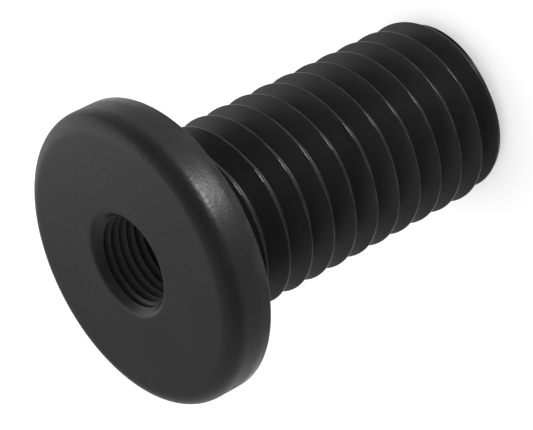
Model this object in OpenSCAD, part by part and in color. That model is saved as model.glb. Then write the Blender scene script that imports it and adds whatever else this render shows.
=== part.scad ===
// Threaded stud: a round flat head on a threaded shank, bored through, with a countersunk mouth in the head.
// The part stands on the shank's tip. The origin is the middle of the tip's end face, and +Z runs up the axis
// to the head's face. All lengths are in mm, all angles in degrees.

/* [Head] */
// Diameter of the round head
head_diameter = 15.8; // [13:0.1:24]
// Thickness of the head, from the seat under it to its face
head_thickness = 2.5; // [1.8:0.1:6]
// Radius of the large rounding between the head's face and its rim
head_face_round = 0.95; // [0.2:0.05:1.2]
// Radius of the small rounding between the head's rim and the seat
head_seat_round = 0.15; // [0.05:0.05:0.4]
// Radius of the fillet between the seat and the shank
neck_fillet = 0.3; // [0.1:0.05:0.6]

/* [Shank] */
// Length of the shank, from the seat under the head to the tip
shank_length = 19.5; // [14:0.05:60]
// Outer diameter over the crests of the shank's thread
thread_diameter = 9.95; // [9.5:0.05:11.5]
// Pitch of the shank's thread, one start, right hand
thread_pitch = 1.5; // [1:0.05:2]
// Width of the flat on the crests, as a share of the pitch
crest_share = 0.1; // [0.08:0.005:0.2]
// Depth of the thread, as a share of the pitch
depth_share = 0.6; // [0.5:0.01:0.62]
// Plain length between the seat and the last trace of the thread's groove
plain_length = 0.5; // [0.4:0.1:8]
// Diameter of the tip's end face
tip_diameter = 8.7; // [8.4:0.05:9.3]
// Length of the lead-in cone at the tip
tip_cone_length = 1.1; // [0.3:0.05:2]
// Angle round the axis at which the thread's groove crosses the height of the end face
thread_start = 269; // [0:1:359]

/* [Bore] */
// Diameter of the bore, which is the one over the crests of its fine inner thread
bore_diameter = 4.6; // [4:0.05:4.8]
// Diameter of the countersink on the head's face
countersink_diameter = 5.6; // [5.2:0.05:8]
// Radius of the rounding between the head's face and the countersink
countersink_round = 0.3; // [0.1:0.05:0.5]
// Depth of the chamfer at the bore's far end, on the tip
far_chamfer = 0.25; // [0.1:0.05:0.6]

/* [Smoothness] */
// Steps in a turn of the shank's thread
thread_steps = 60; // [24:4:72]

/* [Hidden] */
$fn = 96;

total_length = shank_length + head_thickness;
head_r = head_diameter / 2;
shank_r = thread_diameter / 2;
tip_r = tip_diameter / 2;
bore_r = bore_diameter / 2;
sink_r = countersink_diameter / 2;

// The shank's groove: its depth, its floor, and how far its cutter stands out past the crests.
groove_depth = thread_pitch * depth_share;
groove_floor = thread_pitch * (1 - crest_share) - 2 * groove_depth * tan(30);
groove_proud = thread_pitch * crest_share * 0.4;
groove_low = -0.8 * thread_pitch;
groove_high = shank_length - plain_length - groove_floor / 2;
groove_fade = thread_pitch / 2;

// Depth of the groove's floor at height z, as a share of the full depth: 1 along the thread, falling to below 0
// where the groove fades out.
function fade(z) = min(1, max(-0.2, (groove_high - z) / groove_fade));

// One section of the groove's cutter, at an angle round the axis and a height: two points on the groove's floor and
// two on its open side, which stands out past the crests. Both flanks lean 30 degrees.
function section(angle, z, depth) =
    let (r_floor = shank_r - depth,
         r_open = shank_r + groove_proud,
         half = groove_floor / 2,
         open_half = half + (r_open - r_floor) * tan(30))
    [for (p = [[r_floor, -half], [r_open, -open_half], [r_open, open_half], [r_floor, half]])
        [p[0] * cos(angle), p[0] * sin(angle), z + p[1]]];

// Triangles between each section and the next, and the two closing faces at the ends of the cutter.
function strip_faces(n) =
    let (quads = [for (i = [0:n - 1], j = [0:3])
            [4 * i + j, 4 * i + (j + 1) % 4, 4 * i + 4 + (j + 1) % 4, 4 * i + 4 + j]],
         sides = [for (q = quads, k = [0, 1]) k == 0 ? [q[0], q[1], q[2]] : [q[0], q[2], q[3]]],
         ends = [[3, 2, 1, 0], [4 * n, 4 * n + 1, 4 * n + 2, 4 * n + 3]])
    concat(sides, ends);

// Cutter of the shank's groove: it starts below the tip and fades out under the head.
module shank_groove() {
    turns = (groove_high - groove_low) / thread_pitch;
    n = floor(turns * thread_steps);
    points = [for (i = [0:n])
        let (z = groove_low + thread_pitch * i / thread_steps,
             angle = thread_start + 360 * z / thread_pitch)
        each section(angle, z, groove_depth * fade(z))];
    polyhedron(points = points, faces = strip_faces(n));
}

// Waste outside a round corner of radius r whose centre is given: the corner's two sides face the directions
// from and to, in degrees, and the corner lies between them.
module corner_waste(centre, r, from, to) {
    mid = (from + to) / 2;
    reach = (r + 0.2) / cos((to - from) / 2);
    translate(centre) difference() {
        polygon([[0, 0], (r + 0.2) * [cos(from), sin(from)], reach * [cos(mid), sin(mid)],
                 (r + 0.2) * [cos(to), sin(to)]]);
        circle(r = r);
    }
}

// The turned blank with its bore: half its outline, revolved, with true round corners.
module blank() {
    rotate_extrude() difference() {
        polygon([[bore_r + far_chamfer, 0], [tip_r, 0], [shank_r, tip_cone_length],
                 [shank_r, shank_length - neck_fillet], [shank_r + neck_fillet, shank_length - neck_fillet],
                 [shank_r + neck_fillet, shank_length], [head_r, shank_length], [head_r, total_length],
                 [sink_r, total_length], [bore_r, total_length - (sink_r - bore_r)], [bore_r, far_chamfer]]);
        // fillet between the shank and the seat
        translate([shank_r + neck_fillet, shank_length - neck_fillet]) circle(r = neck_fillet);
        // rounding between the rim and the seat
        corner_waste([head_r - head_seat_round, shank_length + head_seat_round], head_seat_round, -90, 0);
        // rounding between the rim and the face
        corner_waste([head_r - head_face_round, total_length - head_face_round], head_face_round, 0, 90);
        // rounding between the face and the countersink
        corner_waste([sink_r + countersink_round * tan(22.5), total_length - countersink_round],
                     countersink_round, 90, 135);
    }
}

// Threaded stud, one piece of metal.
module stud() {
    color("#26282b")
    difference() {
        blank();
        shank_groove();
    }
}

stud();
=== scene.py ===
"""Threaded stud: a round flat head on a coarse-threaded shank, bored through and finely tapped at the head.

The stud is one turned and blackened piece of steel. Its skin here is one closed surface, worked out as
arrays: a column of points runs up the threaded shank, over the head, down the tapped bore and out along
the tip's end face, and the columns stand side by side round the axis. Both threads are true helices with
rounded crest edges and roots. Lengths in the classes are in millimetres, as on a drawing, and are turned
into metres where a mesh is made. A finish holds its lengths in metres.
"""

import logging
import math
from collections.abc import Callable
from dataclasses import dataclass, field
from enum import Enum

import bpy
import numpy as np
from mathutils import Matrix, Vector


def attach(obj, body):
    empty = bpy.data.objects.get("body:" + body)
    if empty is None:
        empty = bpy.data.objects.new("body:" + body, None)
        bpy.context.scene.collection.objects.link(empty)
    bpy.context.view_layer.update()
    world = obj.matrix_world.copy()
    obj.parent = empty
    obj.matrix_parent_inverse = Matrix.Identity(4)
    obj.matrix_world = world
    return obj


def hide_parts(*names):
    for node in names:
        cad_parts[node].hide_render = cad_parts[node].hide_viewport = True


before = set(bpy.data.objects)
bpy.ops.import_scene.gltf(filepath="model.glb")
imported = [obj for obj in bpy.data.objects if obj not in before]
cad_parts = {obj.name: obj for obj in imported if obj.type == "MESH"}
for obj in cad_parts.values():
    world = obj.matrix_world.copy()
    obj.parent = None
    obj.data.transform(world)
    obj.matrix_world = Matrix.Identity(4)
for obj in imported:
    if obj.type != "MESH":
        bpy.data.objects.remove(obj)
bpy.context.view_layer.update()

LOG = logging.getLogger("threaded_stud")

# One millimetre in metres, and the side of the cells in which points of the skin become one
MM = 0.001
MERGE_M = 2e-7

# Slope of a thread's flank from the radius, slope of the countersink, and the rub on its turned wall
FLANK_DEG = 30.0
SINK_DEG = 45.0
TURNED_RUB = 0.25

Array = np.ndarray
Colour = tuple[float, float, float]
Span = tuple[float, float]

WHITE: Colour = (1.0, 1.0, 1.0)


class Wall(Enum):
    """The side of the metal on which a thread is cut, as the sign of the way from its crest to its root."""

    SHANK = -1
    BORE = 1


class Fade(Enum):
    """The end at which a thread's groove runs out, as the sign of the way back into the full thread."""

    UPWARDS = -1
    DOWNWARDS = 1


# Shader graphs


class Value:
    """A socket of a shader graph that can be used in arithmetic, as in ``1 - mask * 0.5``."""

    def __init__(self, graph: "Graph", socket: bpy.types.NodeSocket) -> None:
        """Keeps the graph and the output socket that carries the number."""
        self.graph = graph
        self.socket = socket

    def _math(self, operation: str, first: object, second: object) -> "Value":
        """Adds a Math node.

        Args:
            operation: the node's operation.
            first: its first number or value.
            second: its second number or value.

        Returns:
            The result as a value.
        """
        return self.graph.node("ShaderNodeMath", {"operation": operation}, {0: first, 1: second})

    def __add__(self, other: object) -> "Value":
        """Sum of this and a number or value."""
        return self._math("ADD", self, other)

    def __radd__(self, other: object) -> "Value":
        """Sum of a number and this."""
        return self._math("ADD", other, self)

    def __sub__(self, other: object) -> "Value":
        """This less a number or value."""
        return self._math("SUBTRACT", self, other)

    def __rsub__(self, other: object) -> "Value":
        """A number less this."""
        return self._math("SUBTRACT", other, self)

    def __mul__(self, other: object) -> "Value":
        """Product of this and a number or value."""
        return self._math("MULTIPLY", self, other)

    def __rmul__(self, other: object) -> "Value":
        """Product of a number and this."""
        return self._math("MULTIPLY", other, self)

    def smooth(self, low: float, high: float) -> "Value":
        """Smooth step from 0 at low to 1 at high."""
        return self.graph.node(
            "ShaderNodeMapRange",
            {"interpolation_type": "SMOOTHSTEP"},
            {"Value": self, "From Min": low, "From Max": high},
        )


class Graph:
    """A node tree that is filled by one method."""

    def __init__(self, tree: bpy.types.NodeTree) -> None:
        """Empties the tree and keeps it."""
        self.tree = tree
        tree.nodes.clear()

    def node(
        self,
        kind: str,
        settings: dict[str, object] | None = None,
        inputs: dict[str | int, object] | None = None,
        out: str | int = 0,
    ) -> Value:
        """Adds one node.

        Args:
            kind: the node's type, as Blender names it.
            settings: its properties, set before its sockets.
            inputs: its sockets by name or number, each a number, a tuple or a Value to link.
            out: the output socket that the caller wants.

        Returns:
            That output as a Value, or for a node without outputs a Value of its first input.
        """
        made = self.tree.nodes.new(kind)
        for name, value in (settings or {}).items():
            setattr(made, name, value)
        for name, value in (inputs or {}).items():
            if isinstance(value, Value):
                self.tree.links.new(value.socket, made.inputs[name])
            elif isinstance(value, tuple) and made.inputs[name].type == "RGBA" and len(value) == 3:
                made.inputs[name].default_value = (*value, 1.0)
            else:
                made.inputs[name].default_value = value
        return Value(self, made.outputs[out] if len(made.outputs) else made.inputs[0])

    def mix(self, factor: object, first: object, second: object) -> Value:
        """Colour between two colours.

        Args:
            factor: 0 for the first, 1 for the second.
            first: a colour or a Value.
            second: a colour or a Value.

        Returns:
            The mixed colour.
        """
        return self.node(
            "ShaderNodeMix",
            {"data_type": "RGBA"},
            {0: factor, 6: first, 7: second},
            out=2,
        )


# Finishes


@dataclass(frozen=True)
class Noise:
    """Solid noise: its waves to the metre, its finer layers and their strength, and the span that counts."""

    per_m: float
    detail: float
    roughness: float = 0.5
    span: Span = (0.3, 0.7)

    def value(self, graph: Graph, place: Value) -> Value:
        """Adds the noise at a place."""
        return graph.node("ShaderNodeTexNoise", inputs={
            "Vector": place, "Scale": self.per_m, "Detail": self.detail, "Roughness": self.roughness})


@dataclass(frozen=True)
class BlackenedSteel:
    """Satin blackened steel, blasted on the head, faintly clouded, and rubbed a little bare at the edges.
    Deep in the bore its colour is painted paler, as painted light that lifts the shade in the hole.

    Lengths are in metres, as Object coordinates are. Each span is the two ends of a smooth step.
    """

    name: str = "blackened_steel"
    slot: str = "black_steel"
    deep: Colour = (0.0105, 0.0108, 0.0108)
    clouded: Colour = (0.0165, 0.0168, 0.0168)
    rubbed: Colour = (0.045, 0.045, 0.047)
    # Paler colour painted deep in the bore: painted light that lifts the shade inside the hole
    bore_painted_light: Colour = (0.046, 0.046, 0.046)
    grain: Noise = Noise(9000.0, 2.0, 0.6, span=(0.25, 0.75))
    specks: Noise = Noise(4050.0, 1.0)
    clouds: Noise = Noise(260.0, 3.0)
    patches: Noise = Noise(900.0, 2.0, span=(0.35, 0.7))
    grain_height_m: float = 0.0000095
    specks_height: float = 0.8
    thread_grain: float = 0.2
    clouding: float = 0.6
    bareness: float = 0.5
    roughness: float = 0.31
    cloud_matt: float = 0.06
    speck_matt: float = 0.06
    thread_matt: float = 0.04
    root_matt: float = 0.05
    bore_matt: float = 0.45
    bore_smoothing: float = 0.9
    rubbed_gloss: float = 0.3
    bore_wall_m: Span = (0.0025, 0.0027)
    bore_mouth_m: Span = (0.0198, 0.0218)
    blasted_from_m: Span = (0.0193, 0.0195)
    edge_rub: Span = (0.0, 1.0)
    root_rub: Span = (-0.6, 0.0)

    def material(self) -> bpy.types.Material:
        """Builds the material.

        Returns:
            A material that reads Object coordinates and the mesh's "rubbed" attribute.
        """
        made = bpy.data.materials.new(self.name)
        made.use_nodes = True
        g = Graph(made.node_tree)
        place = g.node("ShaderNodeTexCoord", out="Object")
        grain, specks = self.grain.value(g, place), self.specks.value(g, place)
        clouds, patches = self.clouds.value(g, place), self.patches.value(g, place)
        rub = g.node("ShaderNodeAttribute", {"attribute_name": "rubbed"}, out="Fac")
        height = g.node("ShaderNodeSeparateXYZ", inputs={"Vector": place}, out="Z")
        flat = g.node("ShaderNodeVectorMath", {"operation": "MULTIPLY"}, {0: place, 1: (1.0, 1.0, 0.0)})
        reach = g.node("ShaderNodeVectorMath", {"operation": "LENGTH"}, {0: flat}, out="Value")
        # 1 deep in the bore: there the colour is painted paler as painted light, the roughness is raised and
        #                     the grain smoothed
        bore = (1 - reach.smooth(*self.bore_wall_m)) * (1 - height.smooth(*self.bore_mouth_m))
        blasted = height.smooth(*self.blasted_from_m)
        edge, root = rub.smooth(*self.edge_rub), 1 - rub.smooth(*self.root_rub)
        worn = edge * patches.smooth(*self.patches.span)

        cloud_tone, grain_tone = clouds.smooth(*self.clouds.span), grain.smooth(*self.grain.span)
        tone = cloud_tone * self.clouding + grain_tone * (1 - self.clouding)
        body = g.mix(tone, self.deep, self.clouded)
        # Worn edges take the rubbed colour; deep in the bore the body is painted paler as painted light
        colour = g.mix(worn * self.bareness, g.mix(bore, body, self.bore_painted_light), self.rubbed)
        matt = clouds * self.cloud_matt + specks.smooth(*self.specks.span) * self.speck_matt
        matt = matt + root * self.root_matt + bore * self.bore_matt - blasted * self.thread_matt
        rough = (self.roughness + self.thread_matt) + matt - edge * self.rubbed_gloss
        strength = self.thread_grain + blasted * (1 - self.thread_grain) - bore * self.bore_smoothing
        bump = g.node("ShaderNodeBump", out="Normal", inputs={
            "Strength": 1.0, "Distance": self.grain_height_m,
            "Height": (grain + specks * self.specks_height) * strength})
        shader = g.node("ShaderNodeBsdfPrincipled", inputs={
            "Base Color": colour, "Roughness": rough, "Normal": bump, "Specular IOR Level": 0.5})
        g.node("ShaderNodeOutputMaterial", inputs={"Surface": shader})
        return made


@dataclass(frozen=True)
class PaleTable:
    """The plain white table: it takes shadows, is lifted to white for the camera, and is clear from below."""

    name: str = "pale_table"
    colour: Colour = (0.86, 0.86, 0.86)
    lift: float = 0.42

    def material(self) -> bpy.types.Material:
        """Builds the material.

        Returns:
            A white diffuse material with a little glow that only camera rays meet, and clear from below.
        """
        made = bpy.data.materials.new(self.name)
        made.use_nodes = True
        g = Graph(made.node_tree)
        matt = g.node("ShaderNodeBsdfDiffuse", inputs={"Color": self.colour})
        seen = g.node("ShaderNodeLightPath", out="Is Camera Ray")
        glow = g.node("ShaderNodeEmission", inputs={"Color": WHITE, "Strength": seen * self.lift})
        both = g.node("ShaderNodeAddShader", inputs={0: matt, 1: glow})
        under = g.node("ShaderNodeNewGeometry", out="Backfacing")
        clear = g.node("ShaderNodeBsdfTransparent")
        g.node("ShaderNodeOutputMaterial", inputs={
            "Surface": g.node("ShaderNodeMixShader", inputs={0: under, 1: both, 2: clear})})
        return made


# Surfaces


def arc(centre: tuple[float, float], radius: float, start: float, stop: float, steps: int) -> Array:
    """Points of a circular arc in the plane of radius and height.

    Formula: the centre plus the radius times the cosine and sine of an angle that runs evenly from start
    to stop.

    Args:
        centre: radius and height of the arc's centre.
        radius: the arc's radius.
        start: first angle in degrees, 0 outwards and 90 upwards.
        stop: last angle in degrees.
        steps: number of equal steps.

    Returns:
        An array of steps + 1 rows of (radius, height).
    """
    angle = np.radians(np.linspace(start, stop, steps + 1))
    return np.stack([centre[0] + radius * np.cos(angle), centre[1] + radius * np.sin(angle)], axis=-1)


@dataclass
class Columns:
    """Columns of points round the axis: radius, height and rub, each of shape (columns, points)."""

    radius: Array
    height: Array
    rub: Array

    def upside_down(self) -> "Columns":
        """The same columns read from the top down."""
        return Columns(self.radius[:, ::-1], self.height[:, ::-1], self.rub[:, ::-1])

    @staticmethod
    def ring(profile: Array, rub: float, count: int) -> "Columns":
        """A profile that is the same all round.

        Args:
            profile: rows of (radius, height).
            rub: how far the metal is rubbed there.
            count: number of columns.

        Returns:
            The profile repeated in each column.
        """
        shape = (count, len(profile))
        return Columns(
            np.broadcast_to(profile[:, 0], shape),
            np.broadcast_to(profile[:, 1], shape),
            np.broadcast_to(rub, shape),
        )

    @staticmethod
    def joined(parts: list["Columns"]) -> "Columns":
        """The parts one after another along each column."""
        names = ("radius", "height", "rub")
        return Columns(*(np.concatenate([getattr(part, name) for part in parts], axis=1) for name in names))


@dataclass(frozen=True)
class Thread:
    """A one-start right-hand thread with 60 degree flanks, cut as one helical groove.

    The groove's centre climbs one pitch a turn, and stands at height 0 at start_deg round the axis. Across
    the groove the depth is full on its floor, falls along the flank by the cosine over the sine of 30
    degrees, and is nothing on the crest. The corner at the floor and the one at the crest are circular
    arcs, tangent to both sides, which shrink where the depth is under full_round_share.

    Past the height fade_from there is no groove, and over fade_span before it the depth comes to full.
    Where it is less than least_share the groove stops, so that no sliver is left. Lengths are in
    millimetres. Rub says how the metal is worn: below 0 in the root, 0 where it is as turned, and up to 1
    at the edges of the crest.
    """

    wall: Wall
    fade: Fade
    pitch: float
    crest_radius: float
    depth: float
    floor: float
    start_deg: float
    fade_from: float
    fade_span: float
    crest_round: float
    root_round: float
    crest_steps: int
    root_steps: int
    least_share: float = 0.03
    full_round_share: float = 0.15
    full_rub_share: float = 0.25
    root_rub: Span = (-1.0, -0.6)
    edge_rub: Span = (0.35, 1.0)
    crest_rub: float = 0.2

    def _half(self, share: Array) -> tuple[Array, Array, Array]:
        """Half the groove's section, from its centre line to the middle of the crest.

        Formula: with D the depth at that place, the floor ends at half its width and the flank at that
        plus D times the tangent of 30 degrees. Each arc starts at its tangent length, radius times the
        tangent of 30 degrees, before the corner.

        Args:
            share: the depth's share of the full depth at each place, from 0 to 1.

        Returns:
            The way along the axis, the depth and the rub, each with one more axis than share.
        """
        slope = math.tan(math.radians(FLANK_DEG))
        ease = np.clip(share / self.full_round_share, 0.0, 1.0)[..., None]
        deep = (self.depth * share)[..., None]
        root, crest = self.root_round * ease, self.crest_round * ease
        turn_in = np.radians(np.linspace(0.0, 90.0 - FLANK_DEG, self.root_steps + 1))
        turn_out = np.radians(np.linspace(90.0 - FLANK_DEG, 0.0, self.crest_steps + 1))
        corner, brow = self.floor / 2, self.floor / 2 + deep * slope
        zero = np.zeros_like(deep)
        across = np.concatenate([
            zero,
            corner - root * slope + root * np.sin(turn_in),
            brow + crest * slope - crest * np.sin(turn_out),
            zero + self.pitch / 2,
        ], axis=-1)
        down = np.concatenate([
            deep,
            deep - root + root * np.cos(turn_in),
            crest - crest * np.cos(turn_out),
            zero,
        ], axis=-1)
        rub = np.concatenate([
            zero + self.root_rub[0],
            zero + np.linspace(*self.root_rub, len(turn_in)),
            zero + np.linspace(*self.edge_rub, len(turn_out)),
            zero + self.crest_rub,
        ], axis=-1)
        return across, down, rub

    def wall_at(self, height: Array, turn: Array) -> tuple[Array, Array]:
        """The fully cut wall at given heights.

        Formula: the way along the axis to the nearest groove centre is the pitch times how far the height
        in pitches, less the turns since the start angle, is from a whole number. The radius is straight
        between the section's points.

        Args:
            height: heights.
            turn: the place round the axis in turns, of a shape that fits the heights.

        Returns:
            The radius and the rub there.
        """
        across, down, rub = (a.ravel() for a in self._half(np.ones(1)))
        away = self.pitch * np.abs((height / self.pitch - turn + self.start_deg / 360.0 + 0.5) % 1.0 - 0.5)
        radius = self.crest_radius + self.wall.value * np.interp(away, across, down)
        return radius, np.interp(away, across, rub)

    def columns(self, count: int, low: float, high: float) -> Columns:
        """The threaded wall between two heights, before it is trimmed.

        Formula: the groove's centre stands at the pitch times the turns since the start angle, plus whole
        pitches. Each turn adds one section: its mirrored half, its centre and its other half, so that the
        last column, one turn on, repeats the first one shifted by a section.

        Args:
            count: number of columns; the last stands where the first does, one turn later.
            low: the lowest height wanted.
            high: the highest height wanted.

        Returns:
            Columns that reach at least a turn past both heights.
        """
        turn = np.linspace(0.0, 1.0, count)
        first = math.floor(low / self.pitch) - 2
        last = math.ceil(high / self.pitch) + 2
        lift = np.arange(first, last + 1)
        centre = self.pitch * (turn[:, None] - self.start_deg / 360.0 % 1.0 + lift[None, :])
        share = np.clip((centre - self.fade_from) * self.fade.value / self.fade_span, 0.0, 1.0)
        share = np.where(share < self.least_share, 0.0, share)
        across, down, rub = self._half(share)
        across = np.concatenate([-across[..., :0:-1], across[..., :-1]], axis=-1)
        down = np.concatenate([down[..., :0:-1], down[..., :-1]], axis=-1)
        rub = np.concatenate([rub[..., :0:-1], rub[..., :-1]], axis=-1)
        height = centre[..., None] + across
        radius = self.crest_radius + self.wall.value * down
        rub = rub * np.clip(share / self.full_rub_share, 0.0, 1.0)[..., None]
        return Columns(*(a.reshape(count, -1) for a in (radius, height, rub)))


def neighbour(values: Array, step: int) -> Array:
    """Each point's neighbour along its column: the one before for 1, the one after for -1, ends repeated."""
    if step > 0:
        return np.concatenate([values[:, :1], values[:, :-1]], axis=1)
    return np.concatenate([values[:, 1:], values[:, -1:]], axis=1)


def trimmed(columns: Columns, limit: Callable[[Array], Array]) -> Columns:
    """Opens a threaded bore out to a turned outline.

    Formula: a point inside the limit moves along its column's segment to where that segment meets the
    limit, if the next point is past it, and straight onto the limit otherwise.

    Args:
        columns: the threaded bore.
        limit: the smallest radius at a height, straight between a few corners.

    Returns:
        The trimmed columns.
    """
    r, z = columns.radius, columns.height
    over = limit(z) - r
    short = over > 0
    new_r, new_z = np.where(short, limit(z), r), z.copy()
    for step in (1, -1):
        near_r, near_z, near_over = (neighbour(a, step) for a in (r, z, over))
        meets = short & (near_over <= 0)
        share = np.where(meets, near_over / np.where(meets, near_over - over, 1.0), 0.0)
        new_r = np.where(meets, near_r * (1 - share) + r * share, new_r)
        new_z = np.where(meets, near_z * (1 - share) + z * share, new_z)
    return Columns(new_r, new_z, np.where(short, TURNED_RUB, columns.rub))


def capped(columns: Columns, low: float, high: float) -> Columns:
    """Ends rising columns at two heights.

    Formula: the radius where a column crosses the end height is the straight mean of the two points about
    it, and every point beyond comes to that one place.

    Args:
        columns: columns whose heights rise.
        low: the height at which they start.
        high: the height at which they end.

    Returns:
        The capped columns.
    """
    r, z, rub = (a.copy() for a in (columns.radius, columns.height, columns.rub))
    rows = np.arange(len(r))
    for level, beyond in ((low, z < low), (high, z > high)):
        after = np.argmax(z >= level, axis=1)
        before = after - 1
        z0, z1 = z[rows, before], z[rows, after]
        share = (level - z0) / np.where(z1 > z0, z1 - z0, 1.0)
        cut = r[rows, before] * (1 - share) + r[rows, after] * share
        r = np.where(beyond, cut[:, None], r)
        z = np.where(beyond, level, z)
    return Columns(r, z, rub)


def skin(name: str, columns: Columns) -> bpy.types.Object:
    """Closes columns into one mesh.

    Formula: column i stands at the angle i over the number of steps of a full turn, and its point at
    radius r and height h goes to (r cos, r sin, h). Neighbouring columns and points make quads, the last
    point joins the first, and points that fall on one place become one, which closes the seam and drops
    the faces that have no area.

    Args:
        name: the object's name.
        columns: closed columns that run up outside and down inside, the last one over the first.

    Returns:
        The object, with a "rubbed" attribute on its points.
    """
    count, length = columns.radius.shape
    angle = np.linspace(0.0, 2.0 * np.pi, count)[:, None]
    right, back = columns.radius * np.cos(angle), columns.radius * np.sin(angle)
    points = np.stack([right, back, columns.height], axis=-1).reshape(-1, 3) * MM
    cell = np.round(points / MERGE_M).astype(np.int64)
    _, keep, place = np.unique(cell, axis=0, return_index=True, return_inverse=True)
    place = place.reshape(count, length)
    ahead = np.roll(place, -1, axis=1)
    quads = np.stack([place[:-1], place[1:], ahead[1:], ahead[:-1]], axis=-1).reshape(-1, 4)
    same = quads == np.roll(quads, -1, axis=1)
    crossed = (quads[:, 0] == quads[:, 2]) | (quads[:, 1] == quads[:, 3])
    full = quads[(same.sum(axis=1) == 0) & ~crossed]
    thin = (same.sum(axis=1) == 1) & ~crossed
    threes = quads[thin][~same[thin]].reshape(-1, 3)

    loops = np.concatenate([full.ravel(), threes.ravel()]).astype(np.int32)
    sizes = np.concatenate([np.full(len(full), 4), np.full(len(threes), 3)]).astype(np.int32)
    used, loops = np.unique(loops, return_inverse=True)
    mesh = bpy.data.meshes.new(name)
    mesh.vertices.add(len(used))
    mesh.vertices.foreach_set("co", points[keep][used].astype(np.float32).ravel())
    mesh.loops.add(len(loops))
    mesh.loops.foreach_set("vertex_index", loops.astype(np.int32))
    mesh.polygons.add(len(sizes))
    mesh.polygons.foreach_set("loop_start", (np.cumsum(sizes) - sizes).astype(np.int32))
    mesh.update(calc_edges=True)
    mesh.validate()
    mesh.shade_smooth()
    rubbed = mesh.attributes.new("rubbed", "FLOAT", "POINT")
    rubbed.data.foreach_set("value", columns.rub.reshape(-1)[keep][used].astype(np.float32))
    made = bpy.data.objects.new(name, mesh)
    bpy.context.scene.collection.objects.link(made)
    return made


# The stud


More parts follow.
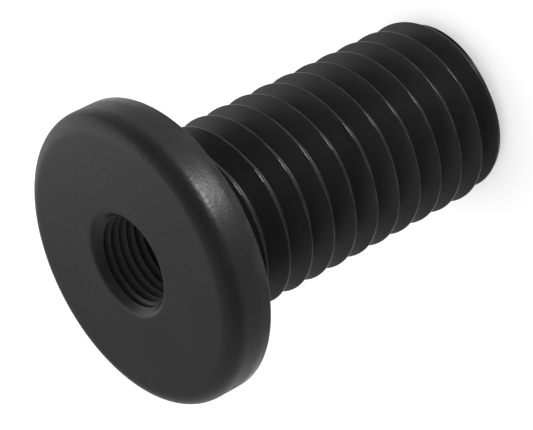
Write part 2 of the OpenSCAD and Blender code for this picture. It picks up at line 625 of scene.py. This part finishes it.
@dataclass
class Stud:
    """The whole stud, one piece of metal: head, neck, threaded shank and tapped bore.

    A face ring is a narrow flat ring that keeps the shading of the flat face apart from the round beside
    it. The rounds of a thread are the one at its crest and the one at its root. The rubs say how far an
    edge is worn, from 0 to 1; the tip's is four times that, as what it multiplies is a quarter at most.
    """

    steps: int = 168
    shank_length: float = 19.5
    head_thickness: float = 2.5
    head_radius: float = 7.9
    face_round: float = 0.95
    face_round_steps: int = 14
    face_ring: float = 0.3
    seat_round: float = 0.15
    seat_round_steps: int = 4
    neck_fillet: float = 0.3
    neck_fillet_steps: int = 4
    shank_radius: float = 4.975
    tip_radius: float = 4.44
    tip_cone: float = 1.1
    tip_height: float = 1.44
    tip_steps: int = 64
    tip_brow: float = 0.11
    bore_radius: float = 2.3
    sink_radius: float = 2.8
    sink_round: float = 0.3
    sink_round_steps: int = 5
    sink_ring: float = 0.15
    far_chamfer: float = 0.25
    plain_length: float = 0.5
    tapped_depth: float = 8.0
    tapped_margin: float = 0.6
    shank_pitch: float = 1.5
    shank_groove: float = 1.02
    shank_crest: float = 0.1005
    shank_rounds: Span = (0.06, 0.06)
    shank_fade_share: float = 0.5
    shank_start_deg: float = 252.0
    bore_pitch: float = 0.5
    bore_groove: float = 0.2
    bore_crest: float = 0.06
    bore_rounds: Span = (0.02, 0.06)
    bore_fade_share: float = 0.75
    bore_start_deg: float = 152.0
    seat_rub: float = 0.8
    face_rub: float = 0.12
    sink_rub: float = 0.15
    tip_rub: float = 2.0
    sharp_deg: float = 38.0
    finish: BlackenedSteel = field(default_factory=BlackenedSteel)

    @property
    def total(self) -> float:
        """Height of the head's face above the tip."""
        return self.shank_length + self.head_thickness

    @staticmethod
    def _floor(pitch: float, crest: float, depth: float) -> float:
        """Width of a groove's floor: the pitch less the crest and both flanks."""
        return pitch - crest - 2 * depth * math.tan(math.radians(FLANK_DEG))

    def outer_thread(self) -> Thread:
        """The shank's thread: narrow crests, and a groove that fades just under the head."""
        floor = self._floor(self.shank_pitch, self.shank_crest, self.shank_groove)
        crest_round, root_round = self.shank_rounds
        return Thread(
            Wall.SHANK, Fade.UPWARDS, self.shank_pitch, self.shank_radius, self.shank_groove, floor,
            start_deg=self.shank_start_deg,
            fade_from=self.shank_length - self.plain_length - floor / 2,
            fade_span=self.shank_fade_share * self.shank_pitch,
            crest_round=crest_round, root_round=root_round, crest_steps=4, root_steps=3,
        )

    def inner_thread(self) -> Thread:
        """The fine thread in the bore, cut from the head's face down."""
        floor = self._floor(self.bore_pitch, self.bore_crest, self.bore_groove)
        crest_round, root_round = self.bore_rounds
        return Thread(
            Wall.BORE, Fade.DOWNWARDS, self.bore_pitch, self.bore_radius, self.bore_groove, floor,
            start_deg=self.bore_start_deg - 360.0 * self.total / self.bore_pitch,
            fade_from=self.total - self.tapped_depth,
            fade_span=self.bore_fade_share * self.bore_pitch,
            crest_round=crest_round, root_round=root_round, crest_steps=2, root_steps=2,
        )

    def _tip(self, count: int) -> Columns:
        """The tip's lowest turn, where the lead-in cone cuts the thread and leaves a softly broken edge.

        Formula: the radius is the smooth minimum of the thread's and the cone's, a mix of the two by m
        less the brow times m (1 - m), where m goes from 0 to 1 as the thread's radius goes from a brow
        above to one below.

        Args:
            count: number of columns.

        Returns:
            Columns from the end face up to just under the tip's height.
        """
        height = np.linspace(0.0, self.tip_height, self.tip_steps, endpoint=False)
        height = height[None, :].repeat(count, axis=0)
        cut, rub = self.outer_thread().wall_at(height, np.linspace(0.0, 1.0, count)[:, None])
        cone = self.tip_radius + (self.shank_radius - self.tip_radius) * height / self.tip_cone
        mix = np.clip(0.5 + (cone - cut) / (2 * self.tip_brow), 0.0, 1.0)
        radius = cone * (1 - mix) + cut * mix - self.tip_brow * mix * (1 - mix)
        return Columns(radius, height, rub * mix + self.tip_rub * mix * (1 - mix))

    def _mouth_outline(self, height: Array) -> Array:
        """Radius of the bore's turned outline: the plain bore, then the countersink at 45 degrees."""
        sink = self.sink_radius - self.bore_radius
        return np.interp(height, [self.total - sink, self.total], [self.bore_radius, self.sink_radius])

    def build(self) -> bpy.types.Object:
        """Builds the stud's skin.

        Returns:
            The object, named "stud_turned".
        """
        count = self.steps + 1
        top, seat = self.total, self.shank_length
        neck = seat - self.neck_fillet
        shank = capped(self.outer_thread().columns(count, self.tip_height, neck), self.tip_height, neck)

        sink_turn = math.radians(SINK_DEG)
        brow = self.sink_radius + self.sink_round * math.tan(sink_turn / 2)
        mouth_low = top - self.sink_round * (1 - math.sin(sink_turn))
        head_in, head_up = self.head_radius - self.face_round, top - self.face_round
        seat_in, seat_up = self.head_radius - self.seat_round, seat + self.seat_round
        neck_out = self.shank_radius + self.neck_fillet
        underside = np.array([[(neck_out + seat_in) / 2, seat]])
        rim = np.array([[self.head_radius, (seat_up + head_up) / 2]])
        face = np.array([
            [head_in - self.face_ring, top], [(head_in + brow) / 2, top], [brow + self.sink_ring, top]])
        sink_centre = (brow, top - self.sink_round)
        rings = [
            (arc((neck_out, neck), self.neck_fillet, 180, 90, self.neck_fillet_steps), 0.0),
            (underside, 0.0),
            (arc((seat_in, seat_up), self.seat_round, -90, 0, self.seat_round_steps), self.seat_rub),
            (rim, 0.0),
            (arc((head_in, head_up), self.face_round, 0, 90, self.face_round_steps), self.face_rub),
            (face, 0.0),
            (arc(sink_centre, self.sink_round, 90, 90 + SINK_DEG, self.sink_round_steps), self.sink_rub),
        ]
        head = Columns.joined([Columns.ring(profile, rub, count) for profile, rub in rings])

        deep = top - self.tapped_depth - self.tapped_margin
        bore = self.inner_thread().columns(count, deep, mouth_low)
        bore = capped(trimmed(bore, self._mouth_outline), deep, mouth_low).upside_down()
        end = np.array([[self.bore_radius, self.far_chamfer], [self.bore_radius + self.far_chamfer, 0.0],
                        [(self.bore_radius + self.tip_radius) / 2, 0.0]])
        foot = Columns.ring(end, 0.0, count)
        return skin("stud_turned", Columns.joined([self._tip(count), shank, head, bore, foot]))

    def dress(self, piece: bpy.types.Object) -> None:
        """Gives the stud its finish and even shading, and ties it to the frame.

        Args:
            piece: the skin from build.
        """
        piece.data.materials.append(self.finish.material())
        piece.data.set_sharp_from_angle(angle=math.radians(self.sharp_deg))
        even = piece.modifiers.new("even_shading", "WEIGHTED_NORMAL")
        even.weight = 80
        even.keep_sharp = True
        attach(piece, "root")
        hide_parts("stud")


# The studio


@dataclass
class Softbox:
    """An oblong lamp that faces a point, with its width and depth in millimetres."""

    name: str
    place: tuple[float, float, float]
    target: tuple[float, float, float]
    width: float
    depth: float
    radiance: float

    def build(self) -> None:
        """Adds the lamp. Its power follows from its radiance: power is radiance times area times pi."""
        lamp = bpy.data.lights.new(self.name, "AREA")
        lamp.shape = "RECTANGLE"
        lamp.size, lamp.size_y = self.width * MM, self.depth * MM
        lamp.energy = self.radiance * self.width * self.depth * MM * MM * math.pi
        made = bpy.data.objects.new(self.name, lamp)
        made.location = Vector(self.place) * MM
        made.visible_camera = False
        away = Vector(self.place) - Vector(self.target)
        made.rotation_mode = "QUATERNION"
        made.rotation_quaternion = away.to_track_quat("Z", "Y")
        bpy.context.scene.collection.objects.link(made)


@dataclass(frozen=True)
class Room:
    """Levels of the pale room that the steel mirrors, as shares of white, and the spans of its soft edges."""

    behind_low: float = 0.68
    behind_drop: float = 0.33
    behind_drop_right: float = 0.11
    sides_high: float = 0.28
    sides_drop_right: float = 0.09
    sides_low: float = 0.36
    near_low: float = 0.28
    near_rise_right: float = 0.27
    behind_edge: Span = (0.1, 0.75)
    ahead_edge: Span = (-0.5, 0.1)
    above_edge: Span = (-0.3, 0.3)
    right_edge: Span = (-0.6, 0.6)
    floor_edge: Span = (-0.95, -0.6)
    near_edge: Span = (-0.5, 0.15)

    def level(self, across: Value, along: Value, up: Value) -> Value:
        """The room's level in one direction.

        Args:
            across: the direction's share along X, to the right.
            along: its share along Y, away from the camera.
            up: its share along Z.

        Returns:
            The level: palest behind the stud, pale low in front of it, and dark high above the camera.
        """
        behind, ahead = along.smooth(*self.behind_edge), 1 - along.smooth(*self.ahead_edge)
        above, right = up.smooth(*self.above_edge), across.smooth(*self.right_edge)
        far = behind * (self.behind_low - above * (self.behind_drop + right * self.behind_drop_right))
        high = above * (self.sides_high - right * self.sides_drop_right)
        sides = high + (1 - above) * up.smooth(*self.floor_edge) * self.sides_low
        low = 1 - up.smooth(*self.near_edge)
        near = ahead * low * (self.near_low + right * self.near_rise_right)
        return far + (1 - behind) * (1 - ahead) * sides + near


@dataclass
class Studio:
    """Table, lamps, surroundings and camera. Sight is the nearest and the farthest that the camera sees."""

    eye: tuple[float, float, float] = (0.0, -121.438, 93.246)
    aim: tuple[float, float, float] = (-1.016, 1.072, 12.642)
    roll_deg: float = 117.466
    lens: float = 193.234
    sensor: float = 36.0
    sight: Span = (5.0, 10000.0)
    table_radius: float = 400.0
    table_sides: int = 64
    table_gap: float = 0.02
    ambient: float = 0.83
    table: PaleTable = field(default_factory=PaleTable)
    room: Room = field(default_factory=Room)
    lamps: list[Softbox] = field(default_factory=lambda: [
        Softbox("low_front_lamp", (14.7, -47.4, 5.0), (0.0, 0.0, 14.0), 13.0, 9.0, 31.0),
        Softbox("back_lamp", (34.0, 44.0, 54.0), (0.0, 0.0, 20.0), 60.0, 70.0, 0.72),
    ])

    def build(self) -> None:
        """Builds everything round the stud."""
        self._table()
        self._surroundings()
        for lamp in self.lamps:
            lamp.build()
        self._camera()
        bpy.context.scene.view_settings.view_transform = "Standard"

    def _table(self) -> None:
        """A round white table top just under the tip, clear from below so that the end face can be seen."""
        angle = np.linspace(0.0, 2.0 * np.pi, self.table_sides, endpoint=False)
        rim = np.stack([np.cos(angle), np.sin(angle), 0.0 * angle], axis=-1) * self.table_radius * MM
        mesh = bpy.data.meshes.new("table_top")
        mesh.from_pydata(rim.tolist(), [], [list(range(len(rim)))])
        top = bpy.data.objects.new("table_top", mesh)
        top.location.z = -self.table_gap * MM
        top.data.materials.append(self.table.material())
        top.visible_glossy = False
        top.visible_shadow = False
        bpy.context.scene.collection.objects.link(top)

    def _surroundings(self) -> None:
        """White for the camera, an even plain level for soft light, and a pale room for reflections.

        The room isn't sampled as a lamp, since its soft-light level would then show in reflections.
        """
        world = bpy.data.worlds.new("white_room")
        bpy.context.scene.world = world
        world.use_nodes = True
        world.cycles.sampling_method = "NONE"
        g = Graph(world.node_tree)
        direction = g.node("ShaderNodeTexCoord", out="Generated")
        look = g.node("ShaderNodeSeparateXYZ", inputs={"Vector": direction})
        across, along, up = (Value(g, look.socket.node.outputs[axis]) for axis in ("X", "Y", "Z"))
        path = g.node("ShaderNodeLightPath", out="Is Camera Ray")
        gloss = Value(g, path.socket.node.outputs["Is Glossy Ray"])
        room = self.room.level(across, along, up)
        strength = path + gloss * room + (1 - path) * (1 - gloss) * self.ambient
        glow = g.node("ShaderNodeBackground", inputs={"Color": WHITE, "Strength": strength})
        g.node("ShaderNodeOutputWorld", inputs={"Surface": glow})

    def _camera(self) -> None:
        """The camera, as the perspective of the outline gives it, tilted so that the head lies lower left."""
        lens = bpy.data.cameras.new("camera")
        lens.sensor_width, lens.lens = self.sensor, self.lens
        lens.clip_start, lens.clip_end = (distance * MM for distance in self.sight)
        made = bpy.data.objects.new("camera", lens)
        eye, aim = Vector(self.eye) * MM, Vector(self.aim) * MM
        back = (eye - aim).normalized()
        side = Vector((0.0, 0.0, 1.0)).cross(back).normalized()
        level = Matrix((side, back.cross(side), back)).transposed()
        turn = Matrix.Rotation(-math.radians(self.roll_deg), 3, "Z")
        made.matrix_world = Matrix.Translation(eye) @ (level @ turn).to_4x4()
        bpy.context.scene.collection.objects.link(made)
        bpy.context.scene.camera = made


def main() -> None:
    """Builds the stud and the studio."""
    logging.basicConfig(level=logging.INFO, format="%(name)s: %(message)s")
    stud = Stud()
    piece = stud.build()
    stud.dress(piece)
    LOG.info("%s: %d points, %d faces", piece.name, len(piece.data.vertices), len(piece.data.polygons))
    Studio().build()
    LOG.info("studio built")


if __name__ == "__main__":
    main()
